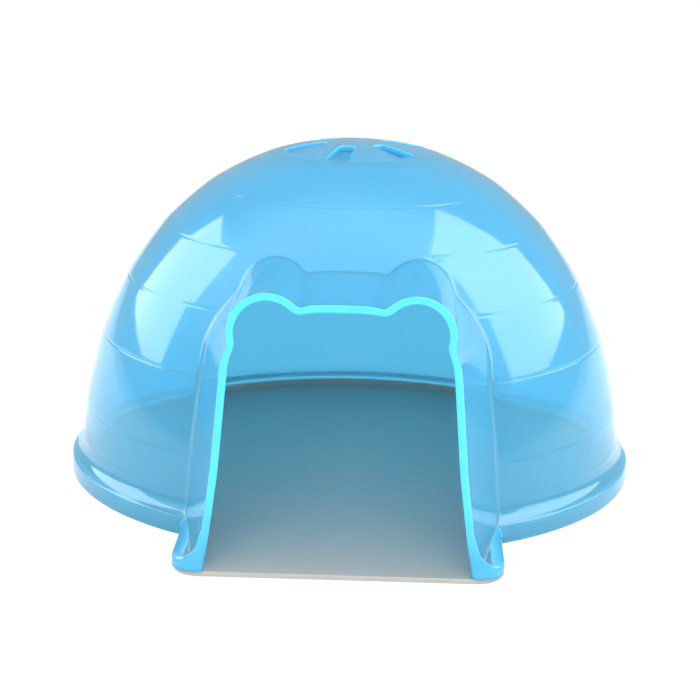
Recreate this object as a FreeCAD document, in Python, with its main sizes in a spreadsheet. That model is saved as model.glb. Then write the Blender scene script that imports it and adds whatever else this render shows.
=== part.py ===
import FreeCAD, Part
import os
import Sketcher

# Small pet igloo: a moulded dome with a bear-eared porch, standing on a thin floor tray.
# Millimetres. Z is up, the porch points along -Y, and the origin is on the floor under the crown.

doc = FreeCAD.newDocument("PetIgloo")

DRIVING_SIZES = [
    # dome
    ("rimRadius", 62.5),            # outside of the skirt that stands on the floor
    ("domeRadius", 60.23),          # the outer wall, carried down to the floor
    ("domeHeight", 73.04),
    ("domeSquareness", 2.137),      # 2 is an ellipse, more is fuller at the shoulder
    ("wallThickness", 1.5),
    ("skirtHeight", 3.4),
    ("skirtRound", 0.5),
    ("skirtBulge", 0.05),           # how far inside the skirt its rounded edge passes half way down
    ("flareTop", 8.3),              # the wall flares out from here down to the skirt
    ("flareSag", 0.62),             # how hollow the flare is
    # joints between the courses of the dome
    ("jointOne", 15.95),
    ("jointTwo", 31.5),
    ("jointThree", 43.95),
    ("jointFour", 55.1),
    ("jointFive", 63.5),
    ("crownJoint", 70.4),
    ("jointRadius", 0.55),          # of the round-bottomed groove
    ("jointDepth", 0.2),
    ("courseFlat", 0.12),           # how much flatter than the dome each course is
    # vents in the crown
    ("ventCount", 6),
    ("ventTurn", 18),               # from +X to the first vent
    ("ventStart", 6.6),
    ("ventEnd", 15.4),
    ("ventNarrow", 1.5),            # half widths
    ("ventWide", 2.5),
    ("ventCorner", 0.8),
    # doorway, on the sloping front of the porch
    ("porchReach", 76.1),           # from the axis of the dome to the foot of the front
    ("porchLean", 3.0),             # the front leans back
    ("doorFoot", 25.3),             # half widths of the doorway, from the floor up
    ("doorLow", 22.6),
    ("doorHigh", 20.85),
    ("lowLevel", 20.7),             # and the heights that they belong to
    ("highLevel", 41.5),
    ("earOffset", 13.9),
    ("earLevel", 47.3),
    ("earRadius", 6.05),            # inside the ear
    ("earFootAngle", -20.0),        # where the ear's arc starts, passes the shoulder and ends
    ("earRiseAngle", 8.0),
    ("earEndAngle", 130.0),
    ("dipOffset", 8.15),
    ("dipLevel", 50.85),
    ("browEnd", 6.4),
    ("browEndLevel", 51.15),
    ("browLevel", 51.35),
    ("dipSlant", 0.97),             # share of the wall that is level with it in the dip
    # the section of the porch that ends inside the dome, where it is widest
    ("rootReach", 34.0),
    ("rootFoot", 34.3),
    ("rootLow", 32.7),
    ("rootHigh", 29.6),
    ("rootHighLevel", 36.0),
    ("shoulderOffset", 27.8),
    ("shoulderLevel", 39.7),
    ("rootEarFoot", 24.75),
    ("rootEarFootLevel", 43.85),
    ("shoulderSlant", 0.72),        # share of the wall that lies each way across the slanting shoulder
    ("porchBlend", 2.2),            # fillet in the crease between porch and dome
    ("porchHalfAngle", 33.4),       # the lower joints of the dome stop here
    # feet of the porch
    ("toeHalf", 31.9),
    ("toeTop", 8.3),
    ("toeSag", 1.2),
    ("toeCorner", 5.0),
    # floor tray
    ("trayThickness", 1.0),
    ("trayGap", 0.4),               # clearance inside the skirt
    ("traySetback", 0.5),           # the front of the tray lies this far behind the feet
    ("trayCorner", 5.2),
    ("lipHeight", 2.4),             # over the floor
    ("lipThickness", 1.0),
    ("lipClearance", 1.2),          # from the porch to the ends of the lip
]
sizes = doc.addObject("Spreadsheet::Sheet", "Sizes")
for row, (name, value) in enumerate(DRIVING_SIZES, start=1):
    sizes.set("A%d" % row, name)
    sizes.set("B%d" % row, str(value))
    sizes.setAlias("B%d" % row, name)
doc.recompute()


# Formulas are written with $name for a cell of the sheet

def formula(text):
    return text.replace("$", "Sizes.")


def dome_at(level, inset="0"):
    """Formula for the radius of the dome at a level, a distance inside its outer surface."""
    rise = f"(({level}) / ($domeHeight - ({inset}))) ^ $domeSquareness"
    return f"($domeRadius - ({inset})) * (1 - {rise}) ^ (1 / $domeSquareness)"


def mirror_half(half):
    """Corners of the right half from the floor up, then of the left half from the top down."""
    return half + [(f"-({x})", y) for x, y in reversed(half)]


# Sketches

def origin_item(body, role):
    return [item for item in body.Origin.OriginFeatures if item.Role == role][0]


def add_sketch(body, name, role):
    sketch = body.newObject("Sketcher::SketchObject", name)
    sketch.AttachmentSupport = [(origin_item(body, role), "")]
    sketch.MapMode = "FlatFace"
    return sketch


def pin_point(sketch, geometry, end, name, place):
    for axis, text in zip("XY", place):
        value = float(sketch.evalExpression(formula(text)))
        index = sketch.addConstraint(Sketcher.Constraint("Distance" + axis, -1, 1, geometry, end, value))
        sketch.renameConstraint(index, name + axis)
        sketch.setExpression("Constraints." + name + axis, formula(text))


def draw_outline(sketch, corners, bulges):
    """Closed outline through corners. The side that starts at corner i is an arc through the
    point that bulges gives for i, and straight where it gives none. Places are formulas."""
    def spot(place):
        return FreeCAD.Vector(*[float(sketch.evalExpression(formula(text))) for text in place], 0)

    count = len(corners)
    first = len(sketch.Geometry)
    ends = []
    for i in range(count):
        start, end = spot(corners[i]), spot(corners[(i + 1) % count])
        if i in bulges:
            side = Part.Arc(start, spot(bulges[i]), end)
        else:
            side = Part.LineSegment(start, end)
        index = sketch.addGeometry(side, False)
        # a sketch keeps its arcs anticlockwise, so the ends of an arc can change places
        ends.append((1, 2) if sketch.getPoint(index, 1).distanceToPoint(start) < 1e-4 else (2, 1))
    for i in range(count):
        following = (i + 1) % count
        joint = (first + i, ends[i][1], first + following, ends[following][0])
        sketch.addConstraint(Sketcher.Constraint("Coincident", *joint))
        pin_point(sketch, first + i, ends[i][0], f"side{first + i}", corners[i])
    for i, place in bulges.items():
        point = sketch.addGeometry(Part.Point(spot(place)), True)
        pin_point(sketch, point, 1, f"bulge{first + i}", place)
        sketch.addConstraint(Sketcher.Constraint("PointOnObject", point, 1, first + i))


def add_feature(body, kind, name, profile, settings, formulas=None):
    feature = body.newObject("PartDesign::" + kind, name)
    feature.Profile = profile
    for key, value in settings.items():
        setattr(feature, key, value)
    for key, text in (formulas or {}).items():
        feature.setExpression(key, formula(text))
    doc.recompute()
    return feature


# Profile of the dome, from the crown down

JOINT_LEVELS = ["$jointFive", "$jointFour", "$jointThree", "$jointTwo", "$jointOne"]


def dome_profile(inset, flat):
    """Corners and bulges of half the dome's section, at a distance inside its outer surface,
    with every course flatter than the dome by flat."""
    top = f"$domeHeight - {inset}"
    crown_level = f"$crownJoint - {inset}"
    crown_radius = dome_at(crown_level, inset)
    drop = f"({top} - ({crown_level}))"
    crown_sphere = f"((({crown_radius}) ^ 2 + {drop} ^ 2) / (2 * {drop}))"
    half_way = f"({crown_radius}) / 2"
    corners = [("0", top)]
    bulges = {0: (half_way, f"{top} - {crown_sphere} + sqrt({crown_sphere} ^ 2 - ({half_way}) ^ 2)")}
    levels = [crown_level] + JOINT_LEVELS + ["$flareTop"]
    for i, level in enumerate(levels):
        corners.append((dome_at(level, inset), level))
        if i + 1 < len(levels):
            middle = f"({level} + {levels[i + 1]}) / 2"
            bulges[i + 1] = (dome_at(middle, f"{inset} + {flat}"), middle)
    # flare, hollow on the outside, and the skirt with its rounded edge
    skirt = f"$rimRadius - {inset}"
    edge = f"$skirtHeight + $skirtRound - {inset} / 2"
    flare_start = len(corners) - 1
    bulges[flare_start] = (f"({dome_at('$flareTop', inset)} + {skirt} - $skirtRound / 2) / 2 - $flareSag",
                           f"($flareTop + {edge}) / 2 - $flareSag")
    corners.append((f"{skirt} - $skirtRound / 2", edge))
    bulges[flare_start + 1] = (f"{skirt} - $skirtBulge", f"{edge} - $skirtRound / 2")
    corners.append((skirt, f"{edge} - $skirtRound"))
    corners.append((skirt, "0"))
    corners.append(("0", "0"))
    return corners, bulges


# Sections of the porch. A skin of 0 gives the doorway, and a skin of a wall the outside

def ear_point(angle, skin):
    return (f"$earOffset + ($earRadius + {skin}) * cos({angle})",
            f"$earLevel + ($earRadius + {skin}) * sin({angle})")


def ear_and_brow(skin):
    """The part of the outline that runs straight back: top of the ear, dip and brow."""
    corners = [ear_point("$earRiseAngle", skin),
               ear_point("$earEndAngle", skin),
               ("$browEnd", f"$browEndLevel + {skin}")]
    bulges = [ear_point("($earRiseAngle + $earEndAngle) / 2", skin),
              ("$dipOffset", f"$dipLevel + {skin} * $dipSlant")]
    return corners, bulges


def front_outline(skin):
    top_corners, top_bulges = ear_and_brow(skin)
    half = [(f"$doorFoot + {skin}", "0"),
            (f"$doorLow + {skin}", "$lowLevel"),
            (f"$doorHigh + {skin}", "$highLevel"),
            ear_point("$earFootAngle", skin)] + top_corners
    side_bulges = {3: ear_point("($earFootAngle + $earRiseAngle) / 2", skin),
                   4: top_bulges[0],
                   5: top_bulges[1]}
    return whole_outline(half, side_bulges, skin)


def root_outline(skin):
    top_corners, top_bulges = ear_and_brow(skin)
    slant = f"{skin} * $shoulderSlant"
    half = [(f"$rootFoot + {skin}", "0"),
            (f"$rootLow + {skin}", "$lowLevel"),
            (f"$rootHigh + {skin}", "$rootHighLevel"),
            (f"$rootEarFoot + {slant}", f"$rootEarFootLevel + {slant}")] + top_corners
    side_bulges = {2: (f"$shoulderOffset + {slant}", f"$shoulderLevel + {slant}"),
                   4: top_bulges[0],
                   5: top_bulges[1]}
    return whole_outline(half, side_bulges, skin)


def whole_outline(half, side_bulges, skin):
    bulges = dict(side_bulges)
    last_side = 2 * len(half) - 2
    for i, (x, y) in side_bulges.items():
        bulges[last_side - i] = (f"-({x})", y)
    bulges[len(half) - 1] = ("0", f"$browLevel + {skin}")
    return mirror_half(half), bulges


def porch_sketch(body, name, reach, outline):
    sketch = add_sketch(body, name, "XZ_Plane")
    lean = FreeCAD.Rotation(FreeCAD.Vector(-1, 0, 0), sizes.porchLean)
    sketch.AttachmentOffset = FreeCAD.Placement(FreeCAD.Vector(0, 0, 0), lean)
    sketch.setExpression("AttachmentOffset.Base.z", formula(reach))
    sketch.setExpression("AttachmentOffset.Rotation.Angle", formula("$porchLean"))
    draw_outline(sketch, *outline)
    return sketch


# Igloo shell: one moulding

def dome_radius(level):
    return float(sizes.evalExpression(formula(dome_at(str(level)))))


def crease_edges(shape):
    """Names of the edges where the flanks of the porch meet the dome, above the flare."""
    names = []
    for number, edge in enumerate(shape.Edges, start=1):
        if edge.Degenerated or isinstance(edge.Curve, Part.Circle):
            continue
        middle = edge.valueAt((edge.FirstParameter + edge.LastParameter) / 2)
        beside_porch = middle.y < 0 and sizes.browEnd < abs(middle.x) < sizes.rootFoot
        on_flank = sizes.flareTop < middle.z < sizes.rootEarFootLevel
        off_dome = abs((middle.x ** 2 + middle.y ** 2) ** 0.5 - dome_radius(middle.z))
        if beside_porch and on_flank and off_dome < 3 * sizes.courseFlat:
            names.append("Edge%d" % number)
    return names


def joint_sketch(body, name, levels):
    """Round bites along the dome's surface, one at each level."""
    sketch = add_sketch(body, name, "YZ_Plane")
    for number, level in enumerate(levels):
        radius = dome_at(level)
        stand_off = f"(1 + ($jointRadius - $jointDepth) / sqrt(({radius}) ^ 2 + ({level}) ^ 2))"
        place = (f"{radius} * {stand_off}", f"{level} * {stand_off}")
        x, y = [float(sketch.evalExpression(formula(text))) for text in place]
        sketch.addGeometry(Part.Circle(FreeCAD.Vector(x, y, 0), FreeCAD.Vector(0, 0, 1), sizes.jointRadius), False)
        pin_point(sketch, number, 3, f"bite{number}", place)
        index = sketch.addConstraint(Sketcher.Constraint("Radius", number, sizes.jointRadius))
        sketch.renameConstraint(index, f"biteRadius{number}")
        sketch.setExpression(f"Constraints.biteRadius{number}", formula("$jointRadius"))
    return sketch


def igloo_shell():
    body = doc.addObject("PartDesign::Body", "IglooShell")
    body.Label = "igloo_shell"
    upright = (origin_item(body, "Z_Axis"), [""])

    dome_section = add_sketch(body, "DomeSection", "YZ_Plane")
    draw_outline(dome_section, *dome_profile("0", "$courseFlat"))
    add_feature(body, "Revolution", "Dome", dome_section, {"ReferenceAxis": upright, "Angle": 360})

    porch_front = porch_sketch(body, "PorchFront", "$porchReach", front_outline("$wallThickness"))
    porch_root = porch_sketch(body, "PorchRoot", "$rootReach", root_outline("$wallThickness"))
    porch = add_feature(body, "AdditiveLoft", "Porch", porch_front, {"Sections": [porch_root], "Ruled": True})
    crease = body.newObject("PartDesign::Fillet", "PorchCrease")
    crease.Base = (porch, crease_edges(porch.Shape))
    crease.setExpression("Radius", formula("$porchBlend"))
    doc.recompute()

    # the joints round the top go right round, and the lower ones stop at the porch
    upper_joints = joint_sketch(body, "UpperJoints", ["$crownJoint"] + JOINT_LEVELS[:2])
    add_feature(body, "Groove", "UpperGrooves", upper_joints, {"ReferenceAxis": upright, "Angle": 360})
    lower_joints = joint_sketch(body, "LowerJoints", JOINT_LEVELS[2:])
    add_feature(body, "Groove", "LowerGrooves", lower_joints, {"ReferenceAxis": upright, "Midplane": True},
                {"Angle": "360 - 2 * $porchHalfAngle"})

    # feet: a flare along the bottom of the porch, with round corners in front
    for side, sign in (("Right", ""), ("Left", "-")):
        toe_section = porch_sketch(body, side + "ToeSection", "$porchReach", toe_outline(sign))
        add_feature(body, "Pad", side + "Toe", toe_section,
                    {"UseCustomVector": True, "Direction": (0, 1, 0), "AlongSketchNormal": False},
                    {"Length": "$porchReach - $rootReach"})
        corner = add_sketch(body, side + "ToeCorner", "XY_Plane")
        draw_outline(corner, *toe_corner_outline(sign))
        add_feature(body, "Pocket", side + "ToeRound", corner, {"Reversed": True},
                    {"Length": "$toeTop + $skirtRound"})

    # hollow inside, open below and through the porch
    hollow_section = add_sketch(body, "HollowSection", "YZ_Plane")
    draw_outline(hollow_section, *dome_profile("$wallThickness", "0"))
    add_feature(body, "Groove", "Hollow", hollow_section, {"ReferenceAxis": upright, "Angle": 360})
    door_front = porch_sketch(body, "DoorFront", "$porchReach", front_outline("0"))
    door_root = porch_sketch(body, "DoorRoot", "$rootReach", root_outline("0"))
    add_feature(body, "SubtractiveLoft", "Doorway", door_front, {"Sections": [door_root], "Ruled": True})

    # the porch stands on the tray, so its feet end above the floor
    notch = add_sketch(body, "TrayNotch", "XY_Plane")
    half, front, back = "$toeHalf + $trayGap", "-$porchReach - $trayGap", "-$rootReach"
    draw_outline(notch, [(half, front), (half, back), (f"-({half})", back), (f"-({half})", front)], {})
    add_feature(body, "Pocket", "Notch", notch, {"Reversed": True}, {"Length": "$trayThickness"})

    vent_sketch = add_sketch(body, "VentSection", "XY_Plane")
    vent_sketch.setExpression("AttachmentOffset.Rotation.Angle", formula("$ventTurn"))
    draw_outline(vent_sketch, *vent_outline())
    vent = add_feature(body, "Pocket", "Vent", vent_sketch, {"Reversed": True}, {"Length": "$domeHeight"})
    vents = body.newObject("PartDesign::PolarPattern", "Vents")
    vents.Originals = [vent]
    vents.Axis = upright
    vents.Angle = 360
    vents.setExpression("Occurrences", formula("$ventCount"))
    body.Tip = vents
    return body


def toe_outline(sign):
    top = "$doorFoot + $wallThickness / 2"
    corners = [("$doorFoot", "0"), ("$toeHalf", "0"), ("$toeHalf", "$skirtHeight"), (top, "$toeTop")]
    middle = (f"($toeHalf + {top}) / 2 - $toeSag", "($skirtHeight + $toeTop) / 2 - $toeSag")
    if sign:
        corners = [(f"-({x})", y) for x, y in corners]
        middle = (f"-({middle[0]})", middle[1])
    return corners, {2: middle}


def toe_corner_outline(sign):
    """What lies outside a foot's round front corner, seen from above."""
    outer, front = "$toeHalf", "-$porchReach"
    slack = "$wallThickness"
    corners = [(outer, f"{front} + $toeCorner"), (f"{outer} - $toeCorner", front),
               (f"{outer} - $toeCorner", f"{front} - {slack}"), (f"{outer} + {slack}", f"{front} - {slack}"),
               (f"{outer} + {slack}", f"{front} + $toeCorner")]
    diagonal = "$toeCorner * (1 - sqrt(0.5))"
    middle = (f"{outer} - {diagonal}", f"{front} + {diagonal}")
    if sign:
        corners = [(f"-({x})", y) for x, y in corners]
        middle = (f"-({middle[0]})", middle[1])
    return corners, {0: middle}


def vent_outline():
    """A wedge that widens away from the crown, with round corners."""
    cut = "$ventCorner"
    bite = "$ventCorner * (1 - sqrt(0.5))"
    half = [("$ventStart", f"$ventNarrow - {cut}"), (f"$ventStart + {cut}", "$ventNarrow"),
            (f"$ventEnd - {cut}", "$ventWide"), ("$ventEnd", f"$ventWide - {cut}")]
    corners = half + [(x, f"-({y})") for x, y in reversed(half)]
    inner = (f"$ventStart + {bite}", f"$ventNarrow - {bite}")
    outer = (f"$ventEnd - {bite}", f"$ventWide - {bite}")
    bulges = {0: inner, 2: outer, 4: (outer[0], f"-({outer[1]})"), 6: (inner[0], f"-({inner[1]})")}
    return corners, bulges


# Floor tray: a plate under the dome with a tongue under the porch, and a low lip that
# keeps the skirt in place

def floor_tray():
    body = doc.addObject("PartDesign::Body", "FloorTray")
    body.Label = "floor_tray"
    disc = "($rimRadius - $wallThickness - $trayGap)"
    half = "($toeHalf - $trayGap)"
    front = "($porchReach - $traySetback)"
    shoulder = f"sqrt({disc} ^ 2 - {half} ^ 2)"
    diagonal = "$trayCorner * (1 - sqrt(0.5))"
    plate_sketch = add_sketch(body, "PlateSection", "XY_Plane")
    corners = [(half, f"-{shoulder}"), (half, f"-{front} + $trayCorner"), (f"{half} - $trayCorner", f"-{front}"),
               (f"$trayCorner - {half}", f"-{front}"), (f"-{half}", f"-{front} + $trayCorner"),
               (f"-{half}", f"-{shoulder}")]
    bulges = {1: (f"{half} - {diagonal}", f"{diagonal} - {front}"),
              3: (f"{diagonal} - {half}", f"{diagonal} - {front}"),
              5: ("0", disc)}
    draw_outline(plate_sketch, corners, bulges)
    add_feature(body, "Pad", "Plate", plate_sketch, {}, {"Length": "$trayThickness"})

    lip_sketch = add_sketch(body, "LipSection", "XY_Plane")
    inner = f"({disc} - $lipThickness)"
    lip_half = "($toeHalf + $lipClearance)"
    outer_end, inner_end = [f"sqrt({radius} ^ 2 - {lip_half} ^ 2)" for radius in (disc, inner)]
    corners = [(lip_half, f"-{outer_end}"), (f"-{lip_half}", f"-{outer_end}"),
               (f"-{lip_half}", f"-{inner_end}"), (lip_half, f"-{inner_end}")]
    draw_outline(lip_sketch, corners, {0: ("0", disc), 2: ("0", inner)})
    add_feature(body, "Pad", "Lip", lip_sketch, {}, {"Length": "$lipHeight"})
    return body


subparts = [igloo_shell(), floor_tray()]
doc.recompute()

for item in doc.Objects:
    if "Invalid" in item.State or "Error" in item.State:
        raise RuntimeError(f"{item.Name} failed: {item.State}")
for subpart in subparts:
    if subpart.Shape.isNull() or not subpart.Shape.isValid():
        raise RuntimeError(f"{subpart.Label} has no valid shape")

os.makedirs("parts", exist_ok=True)
for subpart in subparts:
    subpart.Shape.exportStep(f"parts/{subpart.Label}.step")
    box = subpart.Shape.BoundBox
    print(subpart.Label, "solids", len(subpart.Shape.Solids), "volume", round(subpart.Shape.Volume),
          "size", round(box.XLength, 2), round(box.YLength, 2), round(box.ZLength, 2))
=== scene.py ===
import math
import bmesh
import bpy
import numpy as np
from mathutils import Matrix, Vector
from mathutils.geometry import delaunay_2d_cdt


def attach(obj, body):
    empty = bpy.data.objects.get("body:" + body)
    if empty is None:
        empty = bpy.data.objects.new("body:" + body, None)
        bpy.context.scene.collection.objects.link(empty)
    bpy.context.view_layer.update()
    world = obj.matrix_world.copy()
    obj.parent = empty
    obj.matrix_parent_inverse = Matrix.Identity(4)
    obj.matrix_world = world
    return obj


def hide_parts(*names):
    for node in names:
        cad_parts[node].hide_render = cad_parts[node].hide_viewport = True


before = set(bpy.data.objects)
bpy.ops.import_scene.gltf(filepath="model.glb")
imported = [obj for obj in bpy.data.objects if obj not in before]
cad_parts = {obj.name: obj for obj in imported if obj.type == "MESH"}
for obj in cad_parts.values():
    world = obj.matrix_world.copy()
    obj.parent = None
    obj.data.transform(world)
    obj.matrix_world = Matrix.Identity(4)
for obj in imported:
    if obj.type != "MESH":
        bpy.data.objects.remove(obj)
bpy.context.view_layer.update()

mm = 0.001
imageSize = 700


# colour and node helpers

def srgb(hexText):
    channels = [int(hexText[i:i + 2], 16) / 255 for i in (1, 3, 5)]
    linear = [c / 12.92 if c <= 0.04045 else ((c + 0.055) / 1.055) ** 2.4 for c in channels]
    return (*linear, 1.0)


def addNode(tree, kind, settings=None, links=None):
    # a setting is a value of an input, by its name or number, or a choice of the node
    node = tree.nodes.new(kind)
    for key, value in (settings or {}).items():
        if isinstance(key, int) or key in node.inputs:
            node.inputs[key].default_value = value
        else:
            setattr(node, key, value)
    for key, source in (links or {}).items():
        tree.links.new(source, node.inputs[key])
    return node


def newMaterial(name):
    material = bpy.data.materials.new(name)
    material.use_nodes = True
    material.node_tree.nodes.clear()
    return material, material.node_tree


# objects, and geometry nodes: a tree with named inputs, and what it makes of a piece

def addObject(name, data):
    thing = bpy.data.objects.new(name, data)
    bpy.context.scene.collection.objects.link(thing)
    return thing


def takeResult(piece):
    # the mesh that the modifiers of a piece make, without them
    bpy.context.view_layer.update()
    result = bpy.data.meshes.new_from_object(piece.evaluated_get(bpy.context.evaluated_depsgraph_get()))
    piece.modifiers.clear()
    return result


def newTree(name, inputs):
    tree = bpy.data.node_groups.new(name, "GeometryNodeTree")
    for label, kind in inputs:
        tree.interface.new_socket(label, in_out="INPUT", socket_type="NodeSocket" + kind)
    tree.interface.new_socket("Geometry", in_out="OUTPUT", socket_type="NodeSocketGeometry")
    return tree, tree.nodes.new("NodeGroupInput").outputs


def runTree(mesh, tree, values):
    piece = addObject(tree.name, mesh)
    modifier = piece.modifiers.new(tree.name, "NODES")
    modifier.node_group = tree
    for item in tree.interface.items_tree:
        if item.in_out == "INPUT" and item.name in values:
            modifier[item.identifier] = values[item.name]
    result = takeResult(piece)
    bpy.data.objects.remove(piece)
    return result


# camera, where the photograph was taken from

cameraPlace = {
    "position": (10.52, -401.91, 129.02),       # mm
    "direction": (-0.02621, 0.96808, -0.24923),
    "roll": 1.075,                              # degrees, the picture leans clockwise
    "focal": 1843.08,                           # pixels of the 700 pixel frame
    "sensor": 36.0,                             # mm
    "nearest": 0.01,                            # metres
}


def makeCamera(place):
    data = bpy.data.cameras.new("camera")
    data.sensor_width = place["sensor"]
    data.lens = place["focal"] * place["sensor"] / imageSize
    data.clip_start = place["nearest"]
    camera = addObject("camera", data)
    ahead = Vector(place["direction"]).normalized()
    level = ahead.cross(Vector((0, 0, 1))).normalized()
    upright = level.cross(ahead)
    roll = math.radians(place["roll"])
    right = level * math.cos(roll) + upright * math.sin(roll)
    up = upright * math.cos(roll) - level * math.sin(roll)
    turn = Matrix((right, up, -ahead)).transposed().to_4x4()
    camera.matrix_world = Matrix.Translation(Vector(place["position"]) * mm) @ turn
    bpy.context.scene.camera = camera


makeCamera(cameraPlace)
bpy.context.scene.view_settings.view_transform = "Standard"
print("camera done")


# studio: pale paper floor and backdrop, a darker room above them, two tall softboxes and a fill

studio = {
    "light": 0.95,               # what falls on the object from all round
    "surround": 1.2,             # white paper, as the camera and the clear plastic see it
    "room": 0.5,                 # what the gloss mirrors where the paper ends
    "ceiling": 2.0,              # and overhead, towards the camera
    "ceilingBack": 0.55,         # both edges as directions: how far back it starts and is full,
    "ceilingFront": -0.05,
    "ceilingFoot": 0.2,          # and how high
    "ceilingHigh": 0.75,
    "floorColour": "#8a9096",    # the part of the floor that takes shadows
    "floorBounce": 0.9,          # how pale it is to light that bounces off it
    "floorGlow": 0.76,           # what it adds for the camera and the clear plastic
    "floorGloss": 0.35,          # share of that in what a gloss mirrors
    "floorHalf": 6.0,            # metres
    "floorLevel": 0.00002,       # a hair up, because the tray's underside would share its plane
}


def makeWorld():
    world = bpy.data.worlds.new("surround")
    bpy.context.scene.world = world
    world.use_nodes = True
    tree = world.node_tree
    tree.nodes.clear()
    place = addNode(tree, "ShaderNodeTexCoord")
    axes = addNode(tree, "ShaderNodeSeparateXYZ", None, {"Vector": place.outputs["Generated"]})
    ahead = addNode(tree, "ShaderNodeMapRange", {
        "interpolation_type": "SMOOTHSTEP",
        "From Min": studio["ceilingBack"], "From Max": studio["ceilingFront"],
    }, {"Value": axes.outputs["Y"]})
    above = addNode(tree, "ShaderNodeMapRange", {
        "interpolation_type": "SMOOTHSTEP",
        "From Min": studio["ceilingFoot"], "From Max": studio["ceilingHigh"],
    }, {"Value": axes.outputs["Z"]})
    ceiling = addNode(tree, "ShaderNodeMath", {"operation": "MULTIPLY"},
                      {0: ahead.outputs["Result"], 1: above.outputs["Result"]})
    level = addNode(tree, "ShaderNodeMapRange", {"To Min": studio["room"], "To Max": studio["ceiling"]},
                    {"Value": ceiling.outputs[0]})
    # the camera and clear plastic see the paper, and a gloss mirrors the room
    path = addNode(tree, "ShaderNodeLightPath")
    clear = addNode(tree, "ShaderNodeMath", {"operation": "MAXIMUM"},
                    {0: path.outputs["Is Camera Ray"], 1: path.outputs["Is Transmission Ray"]})
    plain = addNode(tree, "ShaderNodeMapRange", {
        "To Min": studio["light"], "To Max": studio["surround"]}, {"Value": clear.outputs[0]})
    mirrored = addNode(tree, "ShaderNodeMix", {"data_type": "FLOAT"}, {
        0: path.outputs["Is Glossy Ray"], 2: plain.outputs["Result"], 3: level.outputs["Result"]})
    background = addNode(tree, "ShaderNodeBackground", {
        "Color": srgb("#ffffff")}, {"Strength": mirrored.outputs[0]})
    addNode(tree, "ShaderNodeOutputWorld", None, {"Surface": background.outputs[0]})


def makeFloor():
    half, level = studio["floorHalf"], studio["floorLevel"]
    corners = [(x * half, y * half, level) for x, y in ((-1, -1), (1, -1), (1, 1), (-1, 1))]
    mesh = bpy.data.meshes.new("floor")
    mesh.from_pydata(corners, [], [(0, 1, 2, 3)])
    floor = addObject("floor", mesh)
    material, tree = newMaterial("matt paper sweep")
    path = addNode(tree, "ShaderNodeLightPath")
    mirror = addNode(tree, "ShaderNodeMath", {"operation": "MULTIPLY", 1: studio["floorGloss"]},
                     {0: path.outputs["Is Glossy Ray"]})
    clear = addNode(tree, "ShaderNodeMath", {"operation": "MAXIMUM"},
                    {0: mirror.outputs[0], 1: path.outputs["Is Transmission Ray"]})
    seen = addNode(tree, "ShaderNodeMath", {"operation": "MAXIMUM"},
                   {0: path.outputs["Is Camera Ray"], 1: clear.outputs[0]})
    glow = addNode(tree, "ShaderNodeMath", {"operation": "MULTIPLY", 1: studio["floorGlow"]},
                   {0: seen.outputs[0]})
    white = addNode(tree, "ShaderNodeEmission", {"Color": srgb("#ffffff")}, {"Strength": glow.outputs[0]})
    # light that bounces off the floor sees plain white paper, the camera its white and its shadows
    bounce = studio["floorBounce"]
    shade = addNode(tree, "ShaderNodeMix", {
        "data_type": "RGBA", 6: (bounce, bounce, bounce, 1), 7: srgb(studio["floorColour"]),
    }, {"Factor": seen.outputs[0]})
    matt = addNode(tree, "ShaderNodeBsdfDiffuse", None, {"Color": shade.outputs[2]})
    both = addNode(tree, "ShaderNodeAddShader", None, {0: matt.outputs[0], 1: white.outputs[0]})
    addNode(tree, "ShaderNodeOutputMaterial", None, {"Surface": both.outputs[0]})
    mesh.materials.append(material)


# centre and size in mm, power in watts, and whether a gloss mirrors it
softboxes = {
    "left": {
        "centre": (-600, 235, 390), "faces": (1, 0, 0),
        "size": (480, 520), "power": 2.7, "mirrored": True,
    },
    "right": {
        "centre": (600, 120, 675), "faces": (-1, 0, 0),
        "size": (560, 1040), "power": 5.6, "mirrored": True,
    },
    "fill": {
        "centre": (0, -850, 500), "faces": (0, 1, -0.6),
        "size": (800, 800), "power": 3.8, "mirrored": False,
    },
}


def makeSoftbox(name, box):
    data = bpy.data.lights.new(name + " softbox", "AREA")
    data.shape = "RECTANGLE"
    data.size, data.size_y = [side * mm for side in box["size"]]
    data.energy = box["power"]
    lamp = addObject(name + " softbox", data)
    lamp.visible_glossy = box["mirrored"]
    lamp.visible_transmission = box["mirrored"]
    back = -Vector(box["faces"]).normalized()
    side = Vector((0, 0, 1)).cross(back).normalized()
    turn = Matrix((side, back.cross(side), back)).transposed().to_4x4()
    lamp.matrix_world = Matrix.Translation(Vector(box["centre"]) * mm) @ turn


makeWorld()
makeFloor()
for name, box in softboxes.items():
    makeSoftbox(name, box)
print("studio done")


# igloo shell, one moulding: lengths in mm and angles in degrees. The dome and the porch follow the same
# values as their solid, only the grooves are fainter and the edges rounder

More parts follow.
